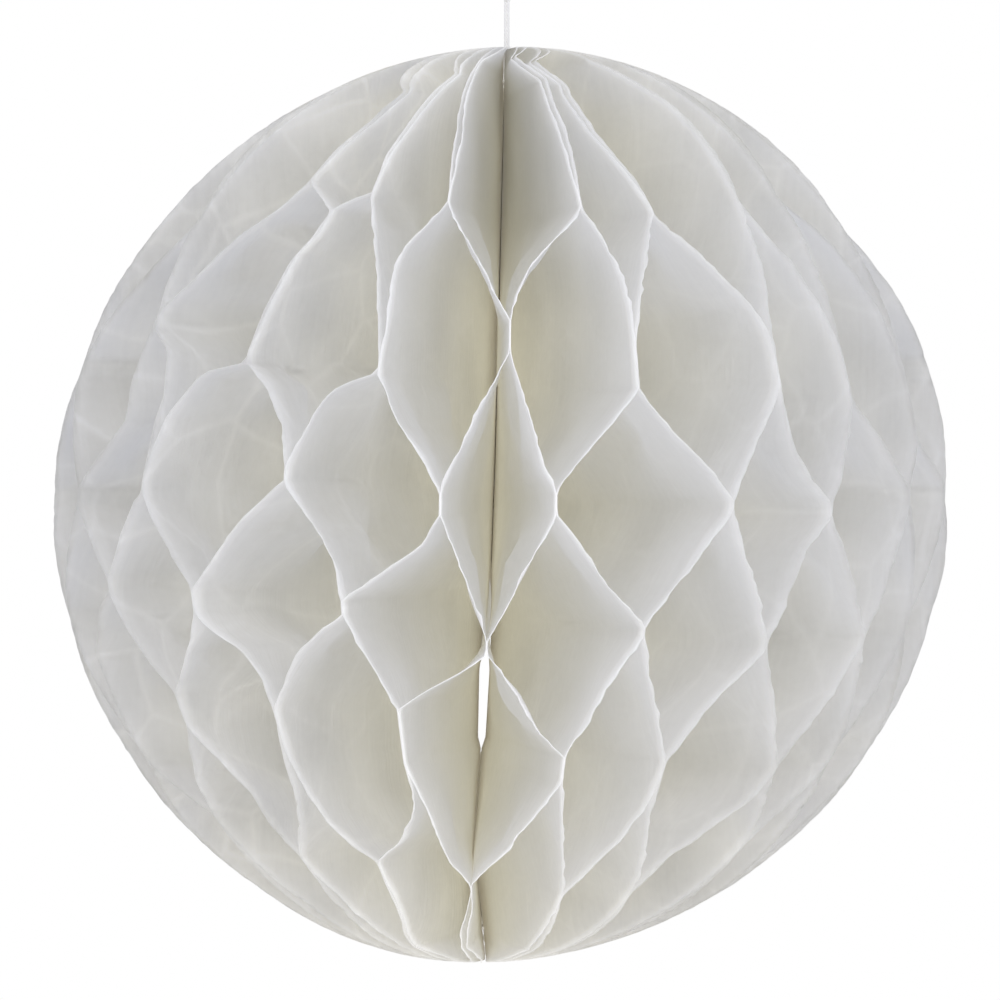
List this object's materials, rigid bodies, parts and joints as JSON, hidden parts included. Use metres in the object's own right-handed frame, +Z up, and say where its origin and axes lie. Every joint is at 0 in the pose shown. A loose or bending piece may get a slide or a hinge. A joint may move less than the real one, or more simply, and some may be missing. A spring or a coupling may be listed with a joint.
{
  "type": "honeycomb tissue paper ball",
  "caption": "Hanging ball of white tissue paper, opened from a glued pad of half-round leaves into diamond cells, with its cord and loop.",
  "frame": {"origin": "centre of the ball, midway up its spine", "axes": "+Z up along the spine, through the top pole; the end cards meet at +Y, and -Y is the side that the picture shows"},
  "size_m": [0.1991, 0.1983, 0.2424],
  "materials": {
    "tissue": "soft matt white tissue",
    "card": "plain white card",
    "strip": "white double-sided adhesive strip",
    "cord": "white two-ply cord"
  },
  "bodies": {
    "root": {"tissue_leaf_01": "tissue", "tissue_leaf_02": "tissue", "tissue_leaf_03": "tissue", "tissue_leaf_04": "tissue", "tissue_leaf_05": "tissue", "tissue_leaf_06": "tissue", "tissue_leaf_07": "tissue", "tissue_leaf_08": "tissue", "tissue_leaf_09": "tissue", "tissue_leaf_10": "tissue", "tissue_leaf_11": "tissue", "tissue_leaf_12": "tissue", "tissue_leaf_13": "tissue", "tissue_leaf_14": "tissue", "tissue_leaf_15": "tissue", "tissue_leaf_16": "tissue", "tissue_leaf_17": "tissue", "tissue_leaf_18": "tissue", "tissue_leaf_19": "tissue", "tissue_leaf_20": "tissue", "tissue_leaf_21": "tissue", "tissue_leaf_22": "tissue", "tissue_leaf_23": "tissue", "tissue_leaf_24": "tissue", "tissue_leaf_25": "tissue", "tissue_leaf_26": "tissue", "tissue_leaf_27": "tissue", "tissue_leaf_28": "tissue", "tissue_leaf_29": "tissue", "tissue_leaf_30": "tissue", "tissue_leaf_31": "tissue", "tissue_leaf_32": "tissue", "tissue_leaf_33": "tissue", "tissue_leaf_34": "tissue", "tissue_leaf_35": "tissue", "tissue_leaf_36": "tissue", "end_card_right": "card", "end_card_left": "card", "adhesive_strip_upper": "strip", "adhesive_strip_lower": "strip", "cord_ring": "cord", "lower_tie": "cord", "cord_knot": "cord", "lower_tie_knot": "cord", "hanging_cord": "cord", "loop_knot": "cord", "cord_loop": "cord"}
  },
  "joints": []
}
